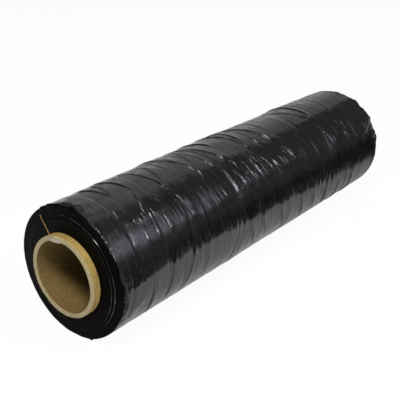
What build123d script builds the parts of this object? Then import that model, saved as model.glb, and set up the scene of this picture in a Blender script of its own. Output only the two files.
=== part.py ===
from build123d import *
import os
from math import asin, cos, exp, radians, sin, sqrt, tau

# Roll of black stretch film wound on a paperboard core, lying on its side.
# Frame: X along the roll with the seen end at -X, Z up, origin under the middle of the roll on the floor.
# Angles round the roll are counted from +Y towards +Z.

# Film, millimetres
film_width = 508.0
film_build = 27.6
last_turns = 9.4
middle_turns = 3.7
inner_turns_stand = 1.8
middle_turns_stand = 1.2
shoulder_length = 3.0
shoulder_drop = 0.8
resting_flat = 19.0

# Gathers in the outer turns: uneven pleats round the roll, each a ridge with a valley close beside it
pleat_pitch = 20.0
pleat_lap = 2.4
pleat_depth = 1.6
pleat_slant = 11.0
lean_length = 170.0
pressed_arc = 42.0

# Core
core_bore_radius = 38.1
core_wall = 4.9
core_overhang = 10.6
core_rim_break = 0.5
winding_clearance = 0.05

# Sliver of the core's outer paper ply, lying across the seen end of the film
sliver_reach = 21.4
sliver_width = 0.9
sliver_thickness = 0.3
sliver_angle = 55.5

# Worked out from the sizes above
core_outer_radius = core_bore_radius + core_wall
core_length = film_width + 2 * core_overhang
film_bore_radius = core_outer_radius + winding_clearance
film_radius = core_outer_radius + film_build
last_turns_radius = film_radius - last_turns
middle_turns_radius = last_turns_radius - middle_turns
film_left = -film_width / 2
film_right = film_width / 2
axis_height = sqrt(film_radius**2 - (resting_flat / 2) ** 2)
roll_axis = Axis((0, 0, axis_height), (1, 0, 0))

# How the pleats are scattered and how finely they are drawn
golden_ratio = (sqrt(5) - 1) / 2
golden_angle = tau * golden_ratio
shoulder_steps = (0.0, 0.15, 0.45, 1.0)
points_round = 36


def scatter(k):
    """Even scatter from 0 to 1 that looks random from one pleat to the next."""
    return k * k * golden_ratio % 1


def creases():
    """Place, depth and deepest angle of each crease line along the film, from the seen end to the far one."""
    pleats = round((film_width - 2 * shoulder_length) / pleat_pitch)
    pitch = (film_width - 2 * shoulder_length) / pleats
    lines = [(film_left + shoulder_length * s, 0.0, 0.0) for s in shoulder_steps]
    for k in range(1, pleats):
        ridge = film_left + shoulder_length + pitch * (k + 0.6 * (k * golden_ratio % 1 - 0.5))
        valley = ridge + pleat_lap * (1 if scatter(k) > 0.5 else -1)
        depth = pleat_depth * (0.35 + 0.65 * scatter(k + 3))
        lines += sorted([(ridge, 0.0, 0.0), (valley, depth, golden_angle * k)])
    return lines + [(film_right - shoulder_length * s, 0.0, 0.0) for s in reversed(shoulder_steps)]


def shoulder_loss(x):
    """Radius lost at the soft rounded corner near either end of the film."""
    short = max(0.0, 1 - min(x - film_left, film_right - x) / shoulder_length)
    return shoulder_drop * (1 - sqrt(1 - short**2))


def crease_line(x, depth, deepest):
    """Curve of one crease, from one edge of the resting flat round to the other.

    A valley fades away from its deepest angle, and the roll's weight presses it out near the floor.
    """
    corner = asin(resting_flat / 2 / film_radius)
    from_middle = (2 * x - film_left - film_right) / film_width
    sway = pleat_slant * (1 - from_middle**2)
    line = []
    for step in range(points_round + 1):
        turn = corner + (tau - 2 * corner) * step / points_round
        pressed = exp(-((min(turn, tau - turn) / radians(pressed_arc)) ** 4))
        loss = (1 - pressed) * (shoulder_loss(x) + depth * (1 + cos(turn - deepest)) / 2)
        radius = film_radius if step in (0, points_round) else film_radius - loss
        along = x + sway * sin(turn + tau * x / lean_length)
        line.append(Vector(along, radius * sin(turn), axis_height - radius * cos(turn)))
    return Wire([Edge.make_spline(line, parameters=range(points_round + 1))])


def end_ring(skin_line, x):
    """Flat edge of the last turns of film, from the skin down to the step below them."""
    sole = Line(skin_line @ 1, skin_line @ 0)
    step = Plane(origin=(x, 0, axis_height), z_dir=(1, 0, 0)) * CenterArc((0, 0), last_turns_radius, 0, 360)
    return Face(Wire([*skin_line.edges(), sole]), [Wire([step])])


def make_film():
    """Wound film as one solid: a gathered skin outside, groups of turns shifted along the core inside."""
    lines = [crease_line(*crease) for crease in creases()]
    skin = Shell.make_loft(lines, ruled=True)
    sole = make_face(Polyline(*[c @ 0 for c in lines], *[c @ 1 for c in reversed(lines)], close=True))
    near = [
        (film_left, last_turns_radius),
        (film_left - middle_turns_stand, last_turns_radius),
        (film_left - middle_turns_stand, middle_turns_radius),
        (film_left - inner_turns_stand, middle_turns_radius),
        (film_left - inner_turns_stand, film_bore_radius),
    ]
    far = [(x + film_width, r) for x, r in near]
    steps = Polyline(*[(x, 0, axis_height + r) for x, r in near + far[::-1]])
    turns = Shell.revolve(Wire(steps.edges()), 360, roll_axis)
    ends = [end_ring(lines[0], film_left), end_ring(lines[-1], film_right)]
    return Solid(Shell([*skin.faces(), *sole.faces(), *ends, *turns.faces()]))


def make_core():
    """Paperboard tube, longer than the film, with the sharp corner worn off its rims."""
    tube = Cylinder(core_outer_radius, core_length) - Cylinder(core_bore_radius, core_length)
    tube = chamfer(tube.edges().filter_by(GeomType.CIRCLE), core_rim_break)
    return Pos(0, 0, axis_height) * Rot(0, 90, 0) * tube


def make_sliver():
    """Thin paper strip that leaves the core radially and lies flat on the inner turns of film."""
    length = sliver_reach + core_wall
    strip = Pos(core_bore_radius + length / 2, 0, 0) * Box(length, sliver_width, sliver_thickness)
    strip -= Cylinder(core_outer_radius, core_length)
    upright = Rot(0, -90, 0) * Rot(0, 0, 90 - sliver_angle) * strip
    return Pos(film_left - inner_turns_stand - sliver_thickness / 2, 0, axis_height) * upright


pieces = {
    "film_roll": make_film(),
    "core_tube": make_core(),
    "ply_sliver": make_sliver(),
}
os.makedirs("parts", exist_ok=True)
for name, piece in pieces.items():
    export_step(piece, f"parts/{name}.step")
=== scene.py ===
import bpy
import bmesh
import math
import numpy as np
from mathutils import Matrix, Vector


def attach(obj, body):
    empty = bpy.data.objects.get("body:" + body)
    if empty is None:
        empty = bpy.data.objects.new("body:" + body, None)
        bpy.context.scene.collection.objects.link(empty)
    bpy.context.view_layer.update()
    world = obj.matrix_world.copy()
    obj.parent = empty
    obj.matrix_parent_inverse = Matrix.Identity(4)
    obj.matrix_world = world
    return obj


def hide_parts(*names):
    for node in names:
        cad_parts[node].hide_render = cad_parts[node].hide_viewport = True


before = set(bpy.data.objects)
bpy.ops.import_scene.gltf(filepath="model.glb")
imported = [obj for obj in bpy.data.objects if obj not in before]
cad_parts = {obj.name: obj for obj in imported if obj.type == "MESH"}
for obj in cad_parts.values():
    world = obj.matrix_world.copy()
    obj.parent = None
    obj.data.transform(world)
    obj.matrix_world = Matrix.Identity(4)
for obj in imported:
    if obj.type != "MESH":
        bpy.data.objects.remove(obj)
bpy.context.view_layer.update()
print("frame loaded")

mm = 0.001
axisHeight = 69.958  # of the roll's axis over the floor, millimetres
goldenRatio = (math.sqrt(5) - 1) / 2
tau = math.tau
mergeGap = 1e-6  # metres
noiseRows = 1200


# shader maths on sockets
class Val:
    def __init__(self, tree, socket):
        self.tree = tree
        self.socket = socket

    def node(self, kind, settings=None, sockets=None, out=0):
        made = self.tree.nodes.new(kind)
        for name, value in (settings or {}).items():
            setattr(made, name, value)
        for name, value in (sockets or {}).items():
            if isinstance(value, Val):
                self.tree.links.new(value.socket, made.inputs[name])
            else:
                made.inputs[name].default_value = value
        return Val(self.tree, made.outputs[out])

    def math(self, operation, other=0.0, third=0.0):
        return self.node("ShaderNodeMath", {"operation": operation}, {0: self, 1: other, 2: third})

    def __add__(self, other):
        return self.math("ADD", other)

    def __mul__(self, other):
        return self.math("MULTIPLY", other)

    def __sub__(self, other):
        return self.math("SUBTRACT", other)

    def __rsub__(self, other):
        return self.math("MULTIPLY_ADD", -1.0, other)

    def __truediv__(self, other):
        return self.math("DIVIDE", other)

    def __pow__(self, other):
        return self.math("POWER", other)

    def ramp(self, low, high, start=0.0, end=1.0):
        return self.node("ShaderNodeMapRange", {"interpolation_type": "SMOOTHSTEP"},
                         {"Value": self, "From Min": low, "From Max": high, "To Min": start, "To Max": end})


def newMaterial(name):
    material = bpy.data.materials.new(name)
    material.use_nodes = True
    tree = material.node_tree
    shader = tree.nodes["Principled BSDF"]
    start = Val(tree, shader.outputs[0])
    return material, tree, shader, start


def link(tree, value, socket):
    tree.links.new(value.socket, socket)


def mixColours(factor, first, second):
    first, second = [tint if isinstance(tint, Val) else (*tint, 1) for tint in (first, second)]
    return factor.node("ShaderNodeMix", {"data_type": "RGBA", "blend_type": "MIX"},
                       {0: factor, 6: first, 7: second}, out=2)


# millimetres and radians: a quarter turn is the top, half a turn the seen side
def rollCoords(start):
    place = start.node("ShaderNodeTexCoord", out=3)
    split = place.node("ShaderNodeSeparateXYZ", sockets={0: place})
    tree = start.tree
    parts = split.socket.node
    along = Val(tree, parts.outputs[0]) * (1 / mm)
    across = Val(tree, parts.outputs[1]) * (1 / mm)
    up = Val(tree, parts.outputs[2]) * (1 / mm) - axisHeight
    radius = (across * across + up * up) ** 0.5
    angle = up.math("ARCTAN2", across)
    return along, across, up, radius, angle


def point(start, x, y, z):
    return start.node("ShaderNodeCombineXYZ", sockets={0: x, 1: y, 2: z})


def noiseAt(place, scale, detail=2.0, rough=0.5):
    return place.node("ShaderNodeTexNoise", {"noise_dimensions": "3D"},
                      {"Vector": place, "Scale": scale, "Detail": detail, "Roughness": rough})


def turnNoise(along, angle, cells):  # noise by its cells to a millimetre along and its cells round the roll
    fine, turns, detail, rough = cells
    place = point(along, along * fine, angle.math("COSINE") * turns, angle.math("SINE") * turns)
    return noiseAt(place, 1.0, detail, rough)


def nearTo(value, zone, most=1.0):  # most in a zone, fading to nothing at its end
    middle, full, end = zone
    return (value - middle).math("ABSOLUTE").ramp(full, end, most, 0.0)


def bump(tree, shader, height, distance):
    made = height.node("ShaderNodeBump", sockets={"Height": height, "Strength": 1.0, "Distance": distance})
    link(tree, made, shader.inputs["Normal"])


def spinRound(bm, columns):  # turn an outline once round the roll's axis
    bmesh.ops.spin(bm, geom=bm.verts[:] + bm.edges[:], cent=(0, 0, axisHeight * mm), axis=(1, 0, 0),
                   dvec=(0, 0, 0), angle=tau, steps=columns, use_merge=True)
    bmesh.ops.remove_doubles(bm, verts=bm.verts, dist=mergeGap)
    bmesh.ops.recalc_face_normals(bm, faces=bm.faces)


def moveVertices(piece, move):
    co = np.empty(len(piece.data.vertices) * 3)
    piece.data.vertices.foreach_get("co", co)
    piece.data.vertices.foreach_set("co", move(co.reshape(-1, 3)).ravel())
    piece.data.update()


def rollPlaces(co):  # places in millimetres from the roll's axis, radius and angle
    x = co[:, 0] / mm
    y = co[:, 1] / mm
    z = co[:, 2] / mm - axisHeight
    return x, y, z, np.hypot(y, z), np.arctan2(z, y)


def finishPiece(bm, name, materials, node, smooth=True):
    mesh = bpy.data.meshes.new(name)
    bm.to_mesh(mesh)
    bm.free()
    piece = bpy.data.objects.new(name, mesh)
    bpy.context.scene.collection.objects.link(piece)
    for material in materials:
        mesh.materials.append(material)
    if smooth:
        mesh.shade_smooth()
    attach(piece, "root")
    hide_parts(node)
    return piece


# black film
filmLook = {
    "colour": (0.0048, 0.0041, 0.0038), "streakColour": (0.0160, 0.0142, 0.0136),
    # scuff: pale wisps at the far end, partly scuffs and partly painted sheen
    "scuffSheen": (0.080, 0.080, 0.084), "scuffSheenShare": 0.8, "nickGlint": (0.17, 0.17, 0.20),
    "roughness": 0.06, "drawnRough": 0.08, "broadRough": 0.12, "tornRough": 0.5,
    "ior": 1.52, "coat": 0.3, "coatRoughness": 0.07,
    "lean": 25.0, "leanMiddle": 10.0, "leanSpread": 100.0, "leanTurn": math.radians(140),
    # heights of the bump in millimetres
    "drawnLine": 0.15, "hairLine": 0.10, "combLine": 0.16, "pinch": 0.25, "spot": 0.25, "edgeTeeth": 0.5,
    # noise: cells to a millimetre along, cells round, detail, roughness
    "drawnCells": (0.42, 2.6, 3.0, 0.6), "hairCells": (1.15, 4.0, 2.0, 0.6),
    "combCells": (0.55, 5.0, 1.0, 0.5), "pinchCells": (0.30, 9.0, 2.0, 0.5),
    "patchCells": (0.035, 2.2, 1.0, 0.5), "spotCells": (0.30, 6.0, 1.0, 0.5),
    "teethCells": (0.45, 42.0, 2.0, 0.6), "raggedCells": (0.15, 26.0, 3.0, 0.65),
    "dotCells": (0.35, 22.0, 2.0, 0.6), "streakCells": (0.62, 1.9, 3.0, 0.75),
    "wispCells": (0.24, 0.04, 2.0, 0.6), "broadCells": (0.09, 0.03),
    # noise levels where a mark starts and where it is full
    "combCut": (0.50, 0.70), "patchCut": (0.46, 0.66), "spotCut": (0.50, 0.80),
    "wispCut": (0.50, 0.68), "dotCut": (0.52, 0.64), "streakCut": (0.36, 0.68),
    # zones, along in millimetres or round in radians: middle, how far they are full, where they end
    "combAngle": (3.02, 0.12, 0.30), "wispAngle": (2.69, 0.08, 0.20), "middleAngle": (2.32, 0.25, 0.55),
    "middleSpan": (0.0, 50.0, 110.0), "crumpleAngle": (1.62, 0.05, 0.42), "frayAngle": (3.05, 0.1, 0.4),
    # where the nicks get painted glints
    "farNickGlint": (248.0, 1.4, 2.8), "farNickGlintAngle": (2.72, 0.18, 0.28),
    "nearNickGlint": (-251.6, 0.5, 1.2), "nearNickGlintAngle": (2.36, 0.22, 0.32),
    "patchGrowth": (-230.0, -150.0, 0.25, 1.0), "middlePatches": 0.7,
    "wispSlant": 0.31, "wispStart": (190.0, 232.0),
    "teethReach": (1.5, 4.5), "tornReach": 14.0, "tornLoss": 5.2, "tornInset": 0.9, "tornSoft": 0.45,
    "crumpled": 12.8, "frayed": 7.2,
}
edgeLook = {
    "colour": (0.0004, 0.0004, 0.0004), "light": (0.0034, 0.0033, 0.0033), "specular": 0.04,
    "turnCells": (1.7, 0.8, 5.0, 0.7), "smearCells": (0.5, 5.0, 3.0, 0.6),
    "turnShare": 0.7, "lightCut": (0.42, 0.72),
    "roughness": 0.30, "turnRough": 0.35, "smearBump": 0.5, "bump": 0.35,
    # the steps of the turns that stand out, with painted sheen and a painted glint: zones in radians, radii
    # in millimetres
    "ringPaintedSheen": (0.060, 0.059, 0.060), "ringPaintedGlint": (0.50, 0.50, 0.53), "wearAndSheenCells": (0.2, 7.0, 3.0, 0.6),
    "lowStart": (-3.12, -2.98), "lowEnd": (-2.34, -2.55), "highStart": (0.9, 1.2), "highEnd": (2.2, 1.9),
    "lowShare": 1.5, "highShare": 0.75, "plainShare": 0.15, "lowGlint": 0.28,
    "glintAngle": (2.27, 0.02, 0.08), "outerStep": (58.5, 60.0),
    "sheenCut": (0.3, 0.7), "glintCut": (0.35, 0.6), "lowCut": (0.46, 0.66),
    "ringRoughness": 0.14, "wornRough": 0.2, "ringBump": 0.3,
}


def drawnLines(along, angle):  # place across the stretched lines, which lean most at the middle
    away = (along - filmLook["leanMiddle"]) / filmLook["leanSpread"]
    lean = (away * away * -1.0).math("EXPONENT") * filmLook["lean"]
    return along - lean * (angle - filmLook["leanTurn"]).math("SINE")


def tornEdge(along, angle, side):  # black rags along both edges of the skin
    inset = along.math("ABSOLUTE") * -1.0 + wound["width"] / 2
    ragged = turnNoise(along, angle, filmLook["raggedCells"])
    crumpled = nearTo(angle, filmLook["crumpleAngle"], filmLook["crumpled"])  # worst at the top
    frayed = nearTo(side, filmLook["frayAngle"], filmLook["frayed"])  # and on the seen side
    reach = ragged * (crumpled + frayed + filmLook["tornReach"]) - filmLook["tornLoss"]
    return inset, (reach - inset * filmLook["tornInset"]).ramp(0.0, filmLook["tornSoft"])


def farWisps(start, along, angle):  # pale scuffs that cross the drawn lines at the far end, partly painted sheen
    across, lengthways, detail, rough = filmLook["wispCells"]
    slanted = angle * wound["radius"] + along * filmLook["wispSlant"]
    wisps = noiseAt(point(start, slanted * across, along * lengthways, 0.0), 1.0, detail, rough)
    wisps = wisps.ramp(*filmLook["wispCut"]) * along.ramp(*filmLook["wispStart"])
    return wisps * nearTo(angle, filmLook["wispAngle"])


def edgeNickGlints(along, angle):  # nicks along the edges, with painted pale blue glints
    dots = turnNoise(along, angle, filmLook["dotCells"]).ramp(*filmLook["dotCut"])
    far = nearTo(along, filmLook["farNickGlint"]) * nearTo(angle, filmLook["farNickGlintAngle"])
    near = nearTo(along, filmLook["nearNickGlint"]) * nearTo(angle, filmLook["nearNickGlintAngle"])
    return dots * (far + near)


def blackFilm():
    material, tree, shader, start = newMaterial("blackFilm")
    along, across, up, _, angle = rollCoords(start)
    shader.inputs["Coat Roughness"].default_value = filmLook["coatRoughness"]
    shader.inputs["IOR"].default_value = filmLook["ior"]
    line = drawnLines(along, angle)
    side = angle.math("ABSOLUTE")
    drawn = turnNoise(line, angle, filmLook["drawnCells"])
    hair = turnNoise(line, angle, filmLook["hairCells"])
    comb = turnNoise(line, angle, filmLook["combCells"]).ramp(*filmLook["combCut"])
    comb = comb * nearTo(side, filmLook["combAngle"])  # pulled taut low on the side
    pinched = turnNoise(line, angle, filmLook["pinchCells"])
    patches = turnNoise(along, angle, filmLook["patchCells"]).ramp(*filmLook["patchCut"])
    middle = nearTo(along, filmLook["middleSpan"]) * nearTo(angle, filmLook["middleAngle"])
    patches = patches * along.ramp(*filmLook["patchGrowth"])
    patches = patches + middle * filmLook["middlePatches"]  # the film is crumpled most at the middle
    spots = turnNoise(line, angle, filmLook["spotCells"]).ramp(*filmLook["spotCut"])
    teeth = turnNoise(along, angle, filmLook["teethCells"])
    inset, torn = tornEdge(along, angle, side)
    nearEdge = inset.ramp(*filmLook["teethReach"], 1.0, 0.0)
    height = drawn * filmLook["drawnLine"] + hair * filmLook["hairLine"] + comb * filmLook["combLine"]
    height = height + spots * patches * filmLook["spot"] + pinched * patches * filmLook["pinch"]
    height = height + teeth * nearEdge * filmLook["edgeTeeth"]
    streaks = turnNoise(line, angle, filmLook["streakCells"]).ramp(*filmLook["streakCut"])
    tint = mixColours(streaks, filmLook["colour"], filmLook["streakColour"])
    # pale wisps at the far end: scuffs with painted sheen
    tint = mixColours(farWisps(start, along, angle) * filmLook["scuffSheenShare"], tint, filmLook["scuffSheen"])
    tint = mixColours(torn, tint, edgeLook["colour"])
    # painted glints on the nicks along the edges
    tint = mixColours(edgeNickGlints(along, angle), tint, filmLook["nickGlint"])
    link(tree, tint, shader.inputs["Base Color"])
    fine, turns = filmLook["broadCells"]
    broad = noiseAt(point(start, along * fine, across * turns, up * turns), 1.0)
    smooth = drawn * filmLook["drawnRough"] + broad * filmLook["broadRough"] + filmLook["roughness"]
    link(tree, smooth + torn * filmLook["tornRough"], shader.inputs["Roughness"])
    link(tree, (1.0 - torn) * filmLook["coat"], shader.inputs["Coat Weight"])
    bump(tree, shader, height, mm)
    return material


def filmEdges():
    material, tree, shader, start = newMaterial("filmEdges")
    radius, angle = rollCoords(start)[3:]
    turns = turnNoise(radius, angle, edgeLook["turnCells"])
    smears = turnNoise(radius, angle, edgeLook["smearCells"])
    light = (turns * edgeLook["turnShare"] + smears * (1 - edgeLook["turnShare"])).ramp(*edgeLook["lightCut"])
    link(tree, mixColours(light, edgeLook["colour"], edgeLook["light"]), shader.inputs["Base Color"])
    shader.inputs["Specular IOR Level"].default_value = edgeLook["specular"]
    link(tree, turns * edgeLook["turnRough"] + edgeLook["roughness"], shader.inputs["Roughness"])
    bump(tree, shader, turns + smears * edgeLook["smearBump"], mm * edgeLook["bump"])
    return material


def turnRing():  # painted sheen and a painted glint on the edges of the turns that stand out, over a faint whitening
    material, tree, shader, start = newMaterial("turnRing")
    radius, angle = rollCoords(start)[3:]
    wearAndSheen = turnNoise(radius, angle, edgeLook["wearAndSheenCells"])
    onOuter = radius.ramp(*edgeLook["outerStep"])
    low = angle.ramp(*edgeLook["lowStart"]) * angle.ramp(*edgeLook["lowEnd"])
    high = angle.ramp(*edgeLook["highStart"]) * angle.ramp(*edgeLook["highEnd"]) * edgeLook["highShare"]
    # painted sheen: lighter arcs on the steps where they face the lamps, over a faint whitening everywhere
    paintedSheen = low * edgeLook["lowShare"] + high * onOuter + edgeLook["plainShare"]
    paintedSheen = wearAndSheen.ramp(*edgeLook["sheenCut"]) * paintedSheen
    # painted glint on the outer step, and painted glints in the low arcs
    glint = nearTo(angle, edgeLook["glintAngle"]) * onOuter * wearAndSheen.ramp(*edgeLook["glintCut"])
    glint = glint + low * wearAndSheen.ramp(*edgeLook["lowCut"]) * edgeLook["lowGlint"]
    tint = mixColours(paintedSheen, filmLook["colour"], edgeLook["ringPaintedSheen"])
    tint = mixColours(glint, tint, edgeLook["ringPaintedGlint"])
    link(tree, tint, shader.inputs["Base Color"])
    link(tree, wearAndSheen * edgeLook["wornRough"] + edgeLook["ringRoughness"], shader.inputs["Roughness"])
    bump(tree, shader, wearAndSheen, mm * edgeLook["ringBump"])
    return material


# wound film
wound = {
    "width": 508.0, "radius": 70.6, "bore": 43.05,
    "turnRadii": (57.5, 61.2), "turnStand": (1.8, 1.2, 0.0),
    "shoulder": 3.0, "shoulderDrop": 0.8, "shoulderShares": (0.0, 0.03, 0.09, 0.2, 0.36, 0.6, 1.0),
    "rows": 600, "columns": 150, "endPitch": 1.6, "cutLengths": (3, 50),
    "skinSlack": 0.01, "skinShare": 1.2, "boreGap": 1.0, "facesOut": 0.5,
    "pleatPitch": 20.0, "pleatLap": 2.4, "pleatDepth": 1.6, "pleatLeast": 0.35, "pleatScatter": 0.6,
    "pleatShare": 0.5, "pleatSlant": 11.0, "leanLength": 170.0, "pressedArc": 42.0,
    # short tucks, thrown at random: lengths in millimetres, reach in radians
    "tucks": 260, "tuckSeed": 23, "tuckDepth": 0.6, "tuckShare": (0.2, 1.0), "tuckSharePower": 1.5,
    "tuckMargin": 6.0, "tuckReach": (0.08, 0.8), "tuckReachPower": 1.3, "tuckSlant": 11.0,
    "tuckSteep": (0.9, 1.8), "tuckEase": 0.8,
    # warps of the creases: run, pitch along, cells round, seed
    "warps": ((8.0, 60.0, 9, 3), (12.0, 130.0, 4, 4)),
    # creases: share, how far they follow the warp, pitch along, cells round, seed, power of a groove
    "grooves": ((1.0, 1.0, 3.0, 13, 5, 2), (1.0, 2.2, 5.0, 8, 6, 3), (1.2, -1.5, 9.0, 9, 7, 5)),
    "crinkles": ((1.0, 1.0, 2.7, 40, 11), (0.7, 0.0, 8.0, 30, 13)),
    "patchNoise": (34.0, 11, 9), "patchStart": 0.42, "patchRange": 0.35, "lumpNoise": (55.0, 7, 8),
    "groove": 0.14, "grooveMean": 0.9, "crinkle": 0.5, "lump": 0.5, "mostRise": 1.6,
    "quietEdge": 7.0, "foldEdge": 2.0, "calmShare": 0.2, "calmLength": 175.0,
    "foldFlank": 1.4, "foldTail": 8.0, "foldReach": 1.15, "foldEase": 0.7,
    "foldWander": 0.9, "foldWaves": 3.0,
    # picked-out folds: along and angle at one end, along and angle at the other, rise
    "folds": (
        (-213, 66, -208, 103, 0.7), (-197, 66, -207, 100, 0.8), (-192, 66, -181, 104, 1.2),
        (-182, 100, -193, 130, 0.6), (-219, 100, -227, 150, 0.3), (-158, 70, -140, 135, 0.9),
        (-130, 74, -147, 118, 0.9), (-112, 70, -94, 116, 0.9), (-79, 70, -98, 135, 0.9),
        (-84, 74, -64, 124, 1.0), (-70, 70, -38, 125, 1.1), (-45, 50, -37, 95, 1.4),
        (-14, 50, -1, 114, 1.3), (7, 50, -1, 112, 1.2), (15, 60, 48, 124, 1.3),
        (55, 60, 53, 112, 0.6), (104, 70, 139, 118, 1.2), (140, 50, 141, 116, 1.4),
        # low on the seen side and at its ends
        (-235, 170, -241, 208, 1.2), (-225, 172, -237, 202, 1.1), (-212, 168, -210, 220, 1.5),
        (-182, 172, -185, 214, 1.1), (-149, 172, -157, 214, 1.2), (-55, 172, -30, 214, 1.3),
        (-30, 176, -6, 210, 1.0), (8, 174, 32, 218, 1.3), (52, 178, 74, 218, 1.4),
        (82, 180, 98, 214, 1.0), (114, 184, 130, 218, 1.4), (168, 184, 180, 216, 1.2),
        (206, 158, 252, 140, 0.7), (216, 163, 253, 147, 0.6), (226, 167, 251, 153, 0.6),
        (184, 184, 199, 232, 1.4), (150, 190, 165, 232, 1.2),
        (-245, 176, -248, 198, 1.5), (-236, 177, -240, 200, 1.5), (-230, 172, -233, 198, 1.5),
        (-222, 168, -226, 188, 1.3),
        (-253, 93, -243, 101, 1.4), (-250, 88, -246, 98, 1.4), (-253, 104, -240, 111, 0.5),
        (-253, 194, -246, 208, 0.9), (-252, 203, -243, 217, 0.8), (-253, 76, -245, 88, 1.2),
        # short ones that sparkle
        (-210, 128, -209, 133, 0.65), (-204, 128, -203, 134, 0.65), (-197, 127, -196, 132, 0.6),
        (-188, 128, -187, 134, 0.65), (-183, 127, -182, 132, 0.6),
        (-51, 106, -44, 122, 0.7), (-44, 110, -39, 125, 0.6), (-33, 112, -25, 134, 0.65),
        (-18, 114, -11, 138, 0.7), (-26, 132, -22, 150, 0.7), (-14, 130, -8, 149, 0.7),
        (-4, 132, 0, 150, 0.7), (6, 128, 14, 148, 0.75), (-45, 135, -42, 149, 0.65),
        (30, 133, 38, 149, 0.75), (37, 135, 44, 150, 0.7), (50, 128, 62, 150, 0.75),
        (37, 106, 47, 122, 0.7), (142, 136, 147, 150, 0.8), (149, 139, 154, 152, 0.75),
        (173, 122, 179, 133, 0.6), (180, 142, 186, 155, 0.8), (131, 116, 140, 128, 0.7),
    ),
    # short folds that glint: along, angle, half their arc in degrees
    "glints": (
        (-205, 147, 7), (-190, 148, 5), (-173, 144, 8), (-152, 148, 4), (-142, 147, 4), (-136, 147, 4),
        (-110, 149, 4), (-94, 147, 4), (-87, 146, 4), (-80, 145, 5), (-148, 128, 6),
        (-36, 142, 5), (-8, 127, 5), (20, 140, 6), (26, 144, 5),
        (57, 137, 6), (-20, 144, 6),
    ),
    "glintRise": 0.7, "glintGrowth": 0.0018, "glintFlank": 1.2, "glintReach": 1.3,
    # frays of the skin's edges: share, cells round, seed
    "frays": ((1.0, 75, 10), (1.2, 28, 12), (0.8, 150, 14)), "frayDrift": 0.5,
    # radii and lengths in millimetres, angles and arcs in degrees
    "rimStart": 62.0, "rimBand": 7.0, "rimDepth": 4.0, "ragged": 0.9,
    "shownAngle": 125.0, "shownArc": 75.0, "shownFade": 12.0, "hiddenFray": 0.2,
    "nearLift": 0.3, "crestLift": 2.6, "crestAngle": 70.0, "crestArc": 18.0,
    "farRag": 1.8, "farRagMore": 1.2, "farLift": 0.8, "farFrayAngle": 150.0, "farFrayArc": 24.0,
    "farSag": 1.2, "sagStart": 234.0, "sagLength": 18.0, "sagAngle": 85.0, "sagArc": 32.0,
    "lipAngle": -109.0, "lipRise": 1.7, "lipArc": 1.7,
    "tornNoise": (70, 41), "tornLeast": 0.5, "tornTop": 6.5, "tornTopAngle": 93.0, "tornTopArc": 9.0,
    "tornSide": 4.5, "tornSideAngle": 184.0, "tornSideArc": 18.0,
}
filmLeft = -wound["width"] / 2
filmRight = wound["width"] / 2


def scatter(k):
    return k * k * goldenRatio % 1


def pleatLines():  # place, depth and deepest turn of each crease line, as in the solids
    inner = wound["width"] - 2 * wound["shoulder"]
    pleats = round(inner / wound["pleatPitch"])
    pitch = inner / pleats
    lines = [(filmLeft, 0.0, 0.0), (filmLeft + wound["shoulder"], 0.0, 0.0)]
    for k in range(1, pleats):
        uneven = wound["pleatScatter"] * (k * goldenRatio % 1 - 0.5)
        ridge = filmLeft + wound["shoulder"] + pitch * (k + uneven)
        valley = ridge + wound["pleatLap"] * (1 if scatter(k) > 0.5 else -1)
        depth = wound["pleatDepth"] * (wound["pleatLeast"] + (1 - wound["pleatLeast"]) * scatter(k + 3))
        lines += sorted([(ridge, 0.0, 0.0), (valley, depth, tau * goldenRatio * k)])
    return lines + [(filmRight - wound["shoulder"], 0.0, 0.0), (filmRight, 0.0, 0.0)]


def pleatLoss(along, turn):
    lines = pleatLines()
    places = np.array([line[0] for line in lines])
    span = np.clip(np.searchsorted(places, along) - 1, 0, len(lines) - 2)
    depths = np.array([line[1] for line in lines])
    deepest = np.array([line[2] for line in lines])
    share = np.clip((along - places[span]) / (places[span + 1] - places[span]), 0, 1)
    first = depths[span] * (1 + np.cos(turn - deepest[span])) / 2
    second = depths[span + 1] * (1 + np.cos(turn - deepest[span + 1])) / 2
    return first * (1 - share) + second * share


def softNoise(along, turn, pitch, cells, seed):  # smooth noise, long round the roll and short along it
    dice = np.random.default_rng(seed).random((noiseRows, cells))
    u = along / pitch + noiseRows / 2
    v = turn / tau * cells
    i = np.floor(u).astype(int) % noiseRows
    j = np.floor(v).astype(int) % cells
    a = u - np.floor(u)
    b = v - np.floor(v)
    a = a * a * (3 - 2 * a)
    b = b * b * (3 - 2 * b)
    i2 = (i + 1) % noiseRows
    j2 = (j + 1) % cells
    low = dice[i, j] * (1 - b) + dice[i, j2] * b
    high = dice[i2, j] * (1 - b) + dice[i2, j2] * b
    return low * (1 - a) + high * a


def edgeNoise(angle, cells, seed):  # noise round the roll alone
    return softNoise(wound["frayDrift"] * angle, angle, 1.0, cells, seed)


def bell(value, middle, spread):
    return np.exp(-(((value - middle) / spread) ** 2))


def turnFrom(angle, middle):  # the shorter way round
    return (angle - middle + math.pi) % tau - math.pi


def ridged(value):
    return 1 - np.abs(2 * value - 1)


def foldShape(across, steep):  # one side steep, the other laid over
    t = across / steep
    climb = np.clip(1 + t, 0, 1)
    return np.where(t < 0, climb * climb * (3 - 2 * climb), np.exp(-np.maximum(t, 0) / wound["foldTail"]))


def leanAt(along):  # sideways run of the stretched lines for a turn of one radian
    return filmLook["lean"] * bell(along, filmLook["leanMiddle"], filmLook["leanSpread"])


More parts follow.
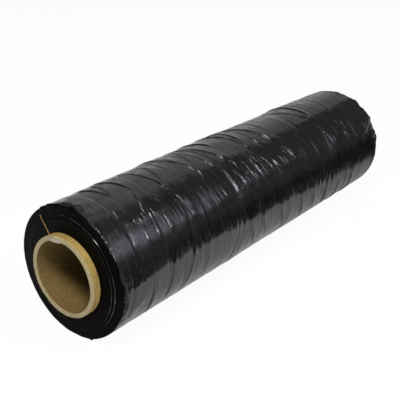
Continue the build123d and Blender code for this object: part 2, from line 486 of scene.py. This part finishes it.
def foldHeight(along, angle):  # the picked-out folds and glints, each on its own line
    height = np.zeros_like(along)
    for k, (x1, angle1, x2, angle2, rise) in enumerate(wound["folds"]):
        half = math.radians((angle2 - angle1) / 2)
        away = turnFrom(angle, math.radians((angle1 + angle2) / 2))
        near = np.clip(wound["foldReach"] - (away / half) ** 2, 0, 1) ** wound["foldEase"]
        line = (x1 + x2) / 2 + (x2 - x1) / 2 * away / half
        line += wound["foldWander"] * np.sin(wound["foldWaves"] * away + k)
        run = (x2 - x1) / 2 / (half * wound["radius"])  # how far it leans from going straight round
        faced = math.copysign(1 / math.hypot(1, run), half)
        height += rise * near * foldShape((along - line) * faced, wound["foldFlank"])
    for place, middle, half in wound["glints"]:
        away = turnFrom(angle, math.radians(middle))
        near = np.clip(wound["glintReach"] - (away / math.radians(half)) ** 2, 0, 1)
        rise = wound["glintRise"] + wound["glintGrowth"] * place
        height += rise * near * foldShape(along - place - leanAt(place) * away, wound["glintFlank"])
    return height


def tuckHeight(along, angle):  # short sharp folds, each on its own arc and slant
    dice = np.random.default_rng(wound["tuckSeed"])
    height = np.zeros_like(along)
    for _ in range(wound["tucks"]):
        place = dice.uniform(filmLeft + wound["tuckMargin"], filmRight - wound["tuckMargin"])
        middle = dice.uniform(0, tau)
        reach = dice.uniform(*wound["tuckReach"]) ** wound["tuckReachPower"]
        slant = leanAt(place) * math.cos(middle - filmLook["leanTurn"]) + dice.normal(0, wound["tuckSlant"])
        steep = dice.uniform(*wound["tuckSteep"]) * dice.choice([-1, 1, 1, 1, 1])
        rise = wound["tuckDepth"] * dice.uniform(*wound["tuckShare"]) ** wound["tuckSharePower"]
        rise *= dice.choice([1, 1, -1])
        away = turnFrom(angle, middle)
        near = np.clip(1 - (away / reach) ** 2, 0, 1) ** wound["tuckEase"]
        height += rise * near * foldShape((along - place - slant * away) / steep, 1.0)
    return height


def creaseRise(laid, turn, angle, calm):  # fine grooves, crinkles and lumps of the skin
    warp = np.zeros_like(laid)
    for run, pitch, cells, seed in wound["warps"]:
        warp += run * (softNoise(laid, turn, pitch, cells, seed) - 0.5)
    line = laid - leanAt(laid) * np.sin(angle - filmLook["leanTurn"])
    grooves = np.zeros_like(laid)
    for share, follow, pitch, cells, seed, power in wound["grooves"]:
        grooves += share * ridged(softNoise(line + follow * warp, turn, pitch, cells, seed)) ** power
    crinkles = np.zeros_like(laid)
    for share, follow, pitch, cells, seed in wound["crinkles"]:
        crinkles += share * (softNoise(line + follow * warp, turn, pitch, cells, seed) - 0.5)
    patchy = softNoise(laid, turn, *wound["patchNoise"]) - wound["patchStart"]
    patchy = np.clip(patchy / wound["patchRange"], 0, 1)
    lumps = softNoise(laid, turn, *wound["lumpNoise"]) - 0.5
    rise = wound["groove"] * (1 + calm) / 2 * (grooves - wound["grooveMean"])
    return rise + wound["crinkle"] * calm * patchy * crinkles - wound["lump"] * lumps


def frayedEdge(x, turn, angle):  # how far both edges of the skin stray along the roll and outward
    degrees = np.degrees(angle)
    frayed = np.zeros_like(x)
    for share, cells, seed in wound["frays"]:
        frayed += share * (edgeNoise(turn, cells, seed) - 0.5)
    fromShown = np.abs(np.degrees(turnFrom(angle, math.radians(wound["shownAngle"]))))
    frayed *= np.clip((wound["shownArc"] - fromShown) / wound["shownFade"], wound["hiddenFray"], 1)
    crest = bell(degrees, wound["crestAngle"], wound["crestArc"])  # the seen end is crumpled at its top
    farFray = bell(degrees, wound["farFrayAngle"], wound["farFrayArc"])
    sideways = np.where(x < 0, -1.0, wound["farRag"] + wound["farRagMore"] * farFray)
    nearLift = wound["nearLift"] + wound["crestLift"] * crest
    outward = np.where(x < 0, nearLift, wound["farLift"] * (1 + farFray))
    return wound["ragged"] * sideways * frayed, outward * frayed


def gatheredSkin(co):
    x, y, z, radius, angle = rollPlaces(co)
    turn = np.arctan2(y, -z) % tau  # from the floor
    degrees = np.degrees(angle)
    outer = radius > wound["radius"] - wound["shoulderDrop"] - wound["skinSlack"]
    inset = np.minimum(x - filmLeft, filmRight - x)
    pressed = np.exp(-((np.minimum(turn, tau - turn) / math.radians(wound["pressedArc"])) ** 4))
    middle = (2 * x - filmLeft - filmRight) / wound["width"]
    sway = wound["pleatSlant"] * np.clip(1 - middle ** 2, 0, 1) * np.sin(turn + tau * x / wound["leanLength"])
    laid = x + np.where(outer, sway, 0)  # where the skin's point ends up along the roll
    quiet = np.clip(inset / wound["quietEdge"], 0, 1)
    calm = wound["calmShare"] + (1 - wound["calmShare"]) * np.clip((x - filmLeft) / wound["calmLength"], 0, 1)
    folded = foldHeight(laid, angle) * np.clip(inset / wound["foldEdge"], 0, 1)
    folded += quiet * calm * tuckHeight(laid, angle)
    gathered = wound["pleatShare"] * pleatLoss(x, turn) - creaseRise(laid, turn, angle, calm)
    loss = wound["radius"] - radius + quiet * gathered - folded
    loss = np.maximum(loss, -wound["mostRise"])
    newRadius = np.where(outer, wound["radius"] - (1 - pressed) * loss, radius)
    rim = np.clip((radius - wound["rimStart"]) / wound["rimBand"], 0, 1)
    rim *= np.clip(1 - inset / wound["rimDepth"], 0, 1)
    sideways, outward = frayedEdge(x, turn, angle)
    sagged = np.clip((x - wound["sagStart"]) / wound["sagLength"], 0, 1) ** 2
    sagged *= bell(degrees, wound["sagAngle"], wound["sagArc"])
    lip = bell(degrees, wound["lipAngle"], wound["lipArc"])
    lip *= np.clip(1 - (x - filmLeft) / wound["rimDepth"], 0, 1)
    newRadius += rim * outward * (1 - pressed) - wound["farSag"] * sagged * outer
    newRadius += wound["lipRise"] * lip * rim
    scale = newRadius / radius
    co[:, 0] = (laid + rim * sideways) * mm
    co[:, 1] = y * scale * mm
    co[:, 2] = np.maximum((z * scale + axisHeight) * mm, 0.0)
    return co


def tornReach(angle):  # how far the torn black edge of the seen end runs along the skin
    degrees = np.degrees(angle) % 360
    top = wound["tornTop"] * bell(degrees, wound["tornTopAngle"], wound["tornTopArc"])
    side = wound["tornSide"] * bell(degrees, wound["tornSideAngle"], wound["tornSideArc"])
    return wound["tornLeast"] + edgeNoise(angle, *wound["tornNoise"]) * (1 + top + side)


def woundFilm():
    near = []
    inside = wound["bore"]
    for stand, outside in zip(wound["turnStand"], (*wound["turnRadii"], None)):
        near.append((filmLeft - stand, inside))
        if outside:
            near.append((filmLeft - stand, outside))
        inside = outside
    far = [(x + wound["width"], r) for x, r in near]
    shoulder = []
    for share in wound["shoulderShares"]:
        drop = wound["shoulderDrop"] * (1 - math.sqrt(1 - (1 - share) ** 2))
        shoulder.append((wound["shoulder"] * share, wound["radius"] - drop))
    outline = near + [(filmLeft + x, r) for x, r in shoulder]
    outline += [(filmRight - x, r) for x, r in reversed(shoulder)] + far[::-1]
    bm = bmesh.new()
    verts = [bm.verts.new((x * mm, 0, (axisHeight - r) * mm)) for x, r in outline]
    edges = [bm.edges.new(pair) for pair in zip(verts, verts[1:] + verts[:1])]
    longest = max(edges[:-1], key=lambda e: e.calc_length())
    lengths = {e: e.calc_length() / mm for e in edges}
    shortest, tooLong = wound["cutLengths"]
    for edge, length in lengths.items():
        if edge is longest:
            bmesh.ops.subdivide_edges(bm, edges=[edge], cuts=wound["rows"])
        elif shortest < length < tooLong:
            bmesh.ops.subdivide_edges(bm, edges=[edge], cuts=round(length / wound["endPitch"]))
    spinRound(bm, wound["columns"])
    middles = np.array([face.calc_center_median() for face in bm.faces])
    x, _, _, radii, angles = rollPlaces(middles)
    torn = x - filmLeft < tornReach(angles)
    onSkin = radii > wound["radius"] - wound["shoulderDrop"] * wound["skinShare"]
    for face, radius, isSkin, isTorn in zip(bm.faces, radii, onSkin, torn):
        onStep = abs(face.normal.x) < wound["facesOut"] and radius > wound["bore"] + wound["boreGap"]
        face.material_index = int(isTorn) if isSkin else 2 if onStep else 1  # film, cut edges, steps
    piece = finishPiece(bm, "woundFilm", [blackFilm(), filmEdges(), turnRing()], "film_roll")
    moveVertices(piece, gatheredSkin)
    print("wound film", len(piece.data.polygons), "faces")


# paperboard core
coreLook = {
    "kraft": (0.45, 0.33, 0.105), "kraftDark": (0.31, 0.205, 0.055), "rimKraft": (0.42, 0.355, 0.22),
    "boreDark": (0.126, 0.081, 0.027), "jointTint": (0.16, 0.10, 0.03), "burrGrey": (0.42, 0.385, 0.32),
    "specular": 0.25, "roughness": 0.68, "fibreRough": 0.2, "bump": 0.15, "grainBump": 0.5, "jointBump": 1.5,
    "bore": 38.1, "wall": 4.9, "length": 529.2, "columns": 180, "rimCuts": 7, "rimBevel": 0.5, "sharp": 1.0,
    # noise: cells to a millimetre, detail and roughness
    "fibres": (0.5, 6.0, 0.7), "grain": (1.1, 2.0, 0.7), "mottleCells": (0.06, 0.08), "mottleDetail": 3.0,
    "plyCells": (1.6, 3.0, 3.0, 0.6), "speck": (0.28, 0.72, 0.52, 1.40),
    "kraftShare": 0.6, "kraftCut": (0.3, 0.9),
    # marks: where they start and are full, in millimetres, the joint as a share of its pitch
    "plyPitch": 105.0, "jointWidth": 0.012, "jointShare": 0.5, "boreDarkDepth": (0.9, 0.2), "boreDarkShare": 0.85,
    "rimDepth": (1.2, 0.5), "rimShare": 0.6, "rimPlies": 0.5,
    "burrTurn": (0.15, 0.30), "burrDepth": (2.5, 0.8), "burrWall": (3.6, 2.4), "burrShare": 0.9,
    # frayed rims: share, pitch, cells round and seed of the fuzz
    "fuzz": ((1.0, 4.0, 90, 31), (0.8, 9.0, 30, 32)), "fuzzRun": 6.0, "fuzzMiddle": 0.2,
    "fray": 0.35, "fraySideways": 0.8, "frayReach": 1.5,
    "burrNoise": (9.0, 60, 33), "burrLeast": 0.5, "burrBand": 2.2,
    "burrAngle": 82.0, "burrArc": 12.0, "burrRise": 1.3, "burrHang": 1.9,
}


def kraftBoard():
    material, tree, shader, start = newMaterial("kraftBoard")
    along, across, up, radius, angle = rollCoords(start)
    bore = coreLook["bore"]
    half = coreLook["length"] / 2
    place = point(start, along, across, up)
    fibres = noiseAt(place, *coreLook["fibres"])
    grain = noiseAt(place, *coreLook["grain"])
    fine, broad = coreLook["mottleCells"]
    mottled = noiseAt(point(start, along * fine, across * broad, up * broad), 1.0, coreLook["mottleDetail"])
    light = (fibres * coreLook["kraftShare"] + mottled * coreLook["kraftShare"]).ramp(*coreLook["kraftCut"])
    tint = mixColours(light, coreLook["kraftDark"], coreLook["kraft"])
    seam = (along / coreLook["plyPitch"] + angle / tau).math("FRACT")  # spiral butt joint of the outer ply
    joint = seam.ramp(0.0, coreLook["jointWidth"], 1.0, 0.0)
    tint = mixColours(joint * coreLook["jointShare"], tint, coreLook["jointTint"])
    begin, full = coreLook["boreDarkDepth"]
    boreDark = radius.ramp(bore + begin, bore + full)  # darker inside the bore
    tint = mixColours(boreDark * coreLook["boreDarkShare"], tint, coreLook["boreDark"])
    plies = turnNoise(radius, angle, coreLook["plyCells"]) * coreLook["rimPlies"] + coreLook["rimShare"]
    begin, full = coreLook["rimDepth"]
    rim = along.math("ABSOLUTE").ramp(half - begin, half - full) * plies
    tint = mixColours(rim, tint, coreLook["rimKraft"])
    burr = nearTo(angle, (math.radians(coreLook["burrAngle"]), *coreLook["burrTurn"]))
    begin, full = coreLook["burrDepth"]
    burr = burr * along.ramp(begin - half, full - half)
    begin, full = coreLook["burrWall"]
    burr = burr * radius.ramp(bore + begin, bore + full)
    tint = mixColours(burr * coreLook["burrShare"], tint, coreLook["burrGrey"])
    speck = grain.ramp(*coreLook["speck"])
    tint = tint.node("ShaderNodeMix", {"data_type": "RGBA", "blend_type": "MULTIPLY"},
                     {0: 1.0, 6: tint, 7: speck}, out=2)
    link(tree, tint, shader.inputs["Base Color"])
    shader.inputs["Specular IOR Level"].default_value = coreLook["specular"]
    link(tree, fibres * coreLook["fibreRough"] + coreLook["roughness"], shader.inputs["Roughness"])
    height = fibres + grain * coreLook["grainBump"] + joint * coreLook["jointBump"]
    bump(tree, shader, height, mm * coreLook["bump"])
    return material


def frayedRims(co):
    x, y, z, radius, angle = rollPlaces(co)
    turn = angle % tau
    run = radius * coreLook["fuzzRun"]
    atRim = np.clip(1 - (coreLook["length"] / 2 - np.abs(x)) / coreLook["frayReach"], 0, 1)
    fuzz = np.zeros_like(x)
    for share, pitch, cells, seed in coreLook["fuzz"]:
        fuzz += share * (softNoise(run, turn, pitch, cells, seed) - 0.5)
    burr = bell(np.degrees(angle), coreLook["burrAngle"], coreLook["burrArc"]) * np.where(x < 0, 1.0, 0.0)
    burr *= coreLook["burrLeast"] + softNoise(run, turn, *coreLook["burrNoise"])
    inner = np.clip((coreLook["bore"] + coreLook["burrBand"] - radius) / coreLook["burrBand"], 0, 1)
    outward = coreLook["fray"] * (fuzz - coreLook["fuzzMiddle"]) + coreLook["burrRise"] * burr
    sideways = coreLook["fray"] * coreLook["fraySideways"] * fuzz - coreLook["burrHang"] * burr * inner
    scale = 1 + atRim * sideways / radius
    co[:, 0] += np.sign(x) * atRim * outward * mm
    co[:, 1] = y * scale * mm
    co[:, 2] = (z * scale + axisHeight) * mm
    return co


def coreTube():
    inside = coreLook["bore"]
    outside = inside + coreLook["wall"]
    half = coreLook["length"] / 2
    bm = bmesh.new()
    corners = [(-half, inside), (-half, outside), (half, outside), (half, inside)]
    verts = [bm.verts.new((x * mm, 0, (axisHeight + r) * mm)) for x, r in corners]
    sides = [bm.edges.new(pair) for pair in zip(verts, verts[1:] + verts[:1])]
    bmesh.ops.subdivide_edges(bm, edges=[sides[0], sides[2]], cuts=coreLook["rimCuts"])
    spinRound(bm, coreLook["columns"])
    rims = [e for e in bm.edges if len(e.link_faces) == 2 and e.calc_face_angle() > coreLook["sharp"]]
    bmesh.ops.bevel(bm, geom=rims, offset=coreLook["rimBevel"] * mm, affect="EDGES", segments=2,
                    profile=0.5, material=-1)
    print("core tube", len(bm.faces), "faces")
    piece = finishPiece(bm, "coreTube", [kraftBoard()], "core_tube")
    moveVertices(piece, frayedRims)


# torn sliver of paper
sliverLook = {
    "angle": 55.5, "start": 43.0, "end": 64.4, "width": 0.9, "thickness": 0.3, "face": -255.8,
    "segments": 12, "taper": 0.55, "bend": 0.12, "bendTurn": 5.0,
    "gold": (0.40, 0.235, 0.055), "goldPale": (0.52, 0.34, 0.11),
    "fibres": (0.45, 3.0, 0.6), "fibreCut": (0.3, 0.7), "roughness": 0.6, "fibreRough": 0.2, "bump": 0.1,
}


def goldPly():
    material, tree, shader, start = newMaterial("goldPly")
    along, across, up = rollCoords(start)[:3]
    fibres = noiseAt(point(start, along, across, up), *sliverLook["fibres"])
    tint = mixColours(fibres.ramp(*sliverLook["fibreCut"]), sliverLook["gold"], sliverLook["goldPale"])
    link(tree, tint, shader.inputs["Base Color"])
    link(tree, fibres * sliverLook["fibreRough"] + sliverLook["roughness"], shader.inputs["Roughness"])
    bump(tree, shader, fibres, mm * sliverLook["bump"])
    return material


def plySliver():
    bm = bmesh.new()
    length = sliverLook["end"] - sliverLook["start"]
    bmesh.ops.create_grid(bm, x_segments=sliverLook["segments"], y_segments=1, size=0.5)
    bmesh.ops.scale(bm, verts=bm.verts, vec=(length, sliverLook["width"], 1))
    bmesh.ops.translate(bm, verts=bm.verts, vec=(sliverLook["start"] + length / 2, 0, 0))
    for vert in bm.verts:
        share = (vert.co.x - sliverLook["start"]) / length
        bend = sliverLook["bend"] * math.sin(share * sliverLook["bendTurn"]) * share
        vert.co.y = vert.co.y * (1 - sliverLook["taper"] * share ** 3) + bend
    sheet = bmesh.ops.extrude_face_region(bm, geom=bm.faces[:])
    top = [g for g in sheet["geom"] if isinstance(g, bmesh.types.BMVert)]
    bmesh.ops.translate(bm, verts=top, vec=(0, 0, sliverLook["thickness"]))
    bmesh.ops.recalc_face_normals(bm, faces=bm.faces)
    upright = Matrix.Rotation(math.radians(-90), 3, "Y")
    turned = upright @ Matrix.Rotation(math.radians(90 - sliverLook["angle"]), 3, "Z")
    bmesh.ops.transform(bm, matrix=turned.to_4x4(), verts=bm.verts)
    bmesh.ops.translate(bm, verts=bm.verts, vec=(sliverLook["face"], 0, axisHeight))
    bmesh.ops.scale(bm, verts=bm.verts, vec=(mm, mm, mm))
    print("ply sliver", len(bm.faces), "faces")
    finishPiece(bm, "plySliver", [goldPly()], "ply_sliver", smooth=False)


# floor, lamps, world and camera
studio = {
    "floor": (0.92, 0.92, 0.92), "floorSize": (5.0, 5.0), "floorWhite": 0.95, "floorRoughness": 0.9,
    "floorDrop": 0.0004, "world": 0.08,
    # white sheet under the roll, as the film mirrors it
    # painted reflection: for the film's gloss the floor glows as a white sheet under the roll and is dark
    # beyond its edge, with painted shadow close under the roll
    "sheetEdge": -0.200, "sheetSlant": 0.31, "sheetSoft": 0.04, "sheetGlow": (0.48, 0.86),
    "underRoll": (0.05, 0.19), "sheetFade": (-0.05, 0.35, 1.0, 0.72),
    # lamps: place, aimed at, size, power, colour
    "lamps": {
        "backSoftbox": ((1.03, 0.79, 0.82), (0, 0, 0.1), (1.5, 1.3), 1.52, (1, 1, 1)),
        "backFill": ((0.923, 0.929, 0.82), (-0.107, 0.139, 0.1), (1.15, 1.3), 0.39, (1, 1, 1)),
        "backLow": ((0.83, 0.63, 0.24), (0.63, 0.07, 0.15), (0.6, 0.14), 0.09, (1, 1, 1)),
        "topSoftbox": ((0.51, 0.30, 1.16), (-0.2, 0, 0.1), (0.55, 0.5), 0.3, (1, 1, 1)),
        "frontSoftbox": ((1.74, -2.08, 1.55), (0, 0, 0.1), (0.60, 0.95), 1.35, (0.70, 0.76, 1.0)),
        "frontSpill": ((1.76, -2.10, 1.56), (0, 0, 0.1), (0.95, 1.25), 1.85, (0.72, 0.77, 1.0)),
        "frontHaze": ((1.74, -2.15, 1.60), (0, 0, 0.1), (1.1, 1.9), 1.9, (0.82, 0.84, 1.0)),
        "frontHigh": ((2.40, -2.15, 2.55), (0, 0, 0.1), (1.0, 1.7), 1.35, (0.78, 0.82, 1.0)),
        "frontLow": ((1.52, -2.15, 1.05), (0, 0, 0.1), (0.45, 0.5), 0.24, (0.72, 0.77, 1.0)),
        "sideWindow": ((1.50, -4.00, 3.56), (0, 0, 0.1), (0.62, 2.3), 76.0, (0.93, 0.95, 1.0)),
        "highBulb": ((0.55, -1.04, 1.84), (0, 0, 0.1), (0.16, 0.16), 1.4, (0.95, 0.97, 1.0)),
        "ceilingLamp": ((1.51, -0.61, 4.83), (0, 0, 0.1), (1.5, 0.45), 18.0, (1, 1, 1)),
        "key": ((-0.9, -0.62, 1.55), (-0.2, 0, 0.07), (0.42, 0.42), 28.0, (1.0, 0.98, 0.95)),
    },
}
view = {
    "place": (-0.67415, -0.49946, 0.36492 + axisHeight * mm),
    "right": (0.62640, -0.77950, 0.0), "up": (0.31856, 0.25595, 0.91269),
    "back": (-0.71144, -0.57173, 0.40864), "lens": 67.75, "sensor": 36, "clipStart": 0.01,
}


def lightPath(tree, kind):
    return Val(tree, tree.nodes.new("ShaderNodeLightPath").outputs[kind])


def mixShaders(factor, first, second):
    return factor.node("ShaderNodeMixShader", sockets={0: factor, 1: first, 2: second})


def paleFloor():
    material, tree, shader, start = newMaterial("paleFloor")
    shader.inputs["Base Color"].default_value = (*studio["floor"], 1)
    shader.inputs["Roughness"].default_value = studio["floorRoughness"]
    shader.inputs["Specular IOR Level"].default_value = 0.0
    glow = start.node("ShaderNodeEmission", sockets={"Color": (1, 1, 1, 1)})
    dark = start.node("ShaderNodeEmission", sockets={"Strength": 0.0})
    seen = mixShaders(lightPath(tree, "Is Camera Ray") * studio["floorWhite"], start, glow)
    place = start.node("ShaderNodeTexCoord", out=3)
    split = place.node("ShaderNodeSeparateXYZ", sockets={0: place})
    x = Val(tree, split.socket.node.outputs[0])
    y = Val(tree, split.socket.node.outputs[1])
    edge = studio["sheetEdge"]
    onSheet = (y - x * studio["sheetSlant"]).ramp(edge - studio["sheetSoft"], edge)
    paintedReflection = y.math("ABSOLUTE").ramp(*studio["underRoll"], *studio["sheetGlow"])  # painted shadow: darker close under the roll
    paintedReflection = paintedReflection * x.ramp(*studio["sheetFade"])
    mixed = mixShaders(lightPath(tree, "Is Glossy Ray"), seen, mixShaders(onSheet * paintedReflection, dark, glow))
    link(tree, mixed, tree.nodes["Material Output"].inputs["Surface"])
    return material


def stageFloor():
    bm = bmesh.new()
    bmesh.ops.create_grid(bm, x_segments=1, y_segments=1, size=0.5)
    bmesh.ops.scale(bm, verts=bm.verts, vec=(*studio["floorSize"], 1))
    bmesh.ops.translate(bm, verts=bm.verts, vec=(0, 0, -studio["floorDrop"]))
    mesh = bpy.data.meshes.new("stageFloor")
    bm.to_mesh(mesh)
    bm.free()
    mesh.materials.append(paleFloor())
    floor = bpy.data.objects.new("stageFloor", mesh)
    bpy.context.scene.collection.objects.link(floor)


def studioLamps():
    for name, (place, target, size, power, colour) in studio["lamps"].items():
        lamp = bpy.data.lights.new(name, "AREA")
        lamp.shape = "RECTANGLE"
        lamp.size, lamp.size_y = size
        lamp.energy = power
        lamp.color = colour
        holder = bpy.data.objects.new(name, lamp)
        holder.location = place
        holder.rotation_euler = (Vector(target) - Vector(place)).to_track_quat("-Z", "Y").to_euler()
        holder.visible_camera = False
        bpy.context.scene.collection.objects.link(holder)


def paleWorld():
    world = bpy.data.worlds.new("paleWorld")
    bpy.context.scene.world = world
    world.use_nodes = True
    tree = world.node_tree
    dim = Val(tree, tree.nodes["Background"].outputs[0])
    tree.nodes["Background"].inputs["Color"].default_value = (1, 1, 1, 1)
    tree.nodes["Background"].inputs["Strength"].default_value = studio["world"]
    white = dim.node("ShaderNodeBackground", sockets={"Color": (1, 1, 1, 1), "Strength": 1.0})
    seen = mixShaders(lightPath(tree, "Is Camera Ray"), dim, white)
    link(tree, seen, tree.nodes["World Output"].inputs["Surface"])


def photoCamera():
    lens = bpy.data.cameras.new("photoCamera")
    lens.sensor_width = view["sensor"]
    lens.lens = view["lens"]
    lens.clip_start = view["clipStart"]
    holder = bpy.data.objects.new("photoCamera", lens)
    turned = Matrix((view["right"], view["up"], view["back"])).transposed()
    holder.matrix_world = Matrix.Translation(view["place"]) @ turned.to_4x4()
    bpy.context.scene.collection.objects.link(holder)
    bpy.context.scene.camera = holder


photoCamera()
woundFilm()
coreTube()
plySliver()
stageFloor()
studioLamps()
paleWorld()
bpy.context.scene.view_settings.view_transform = "Standard"
print("studio ready")
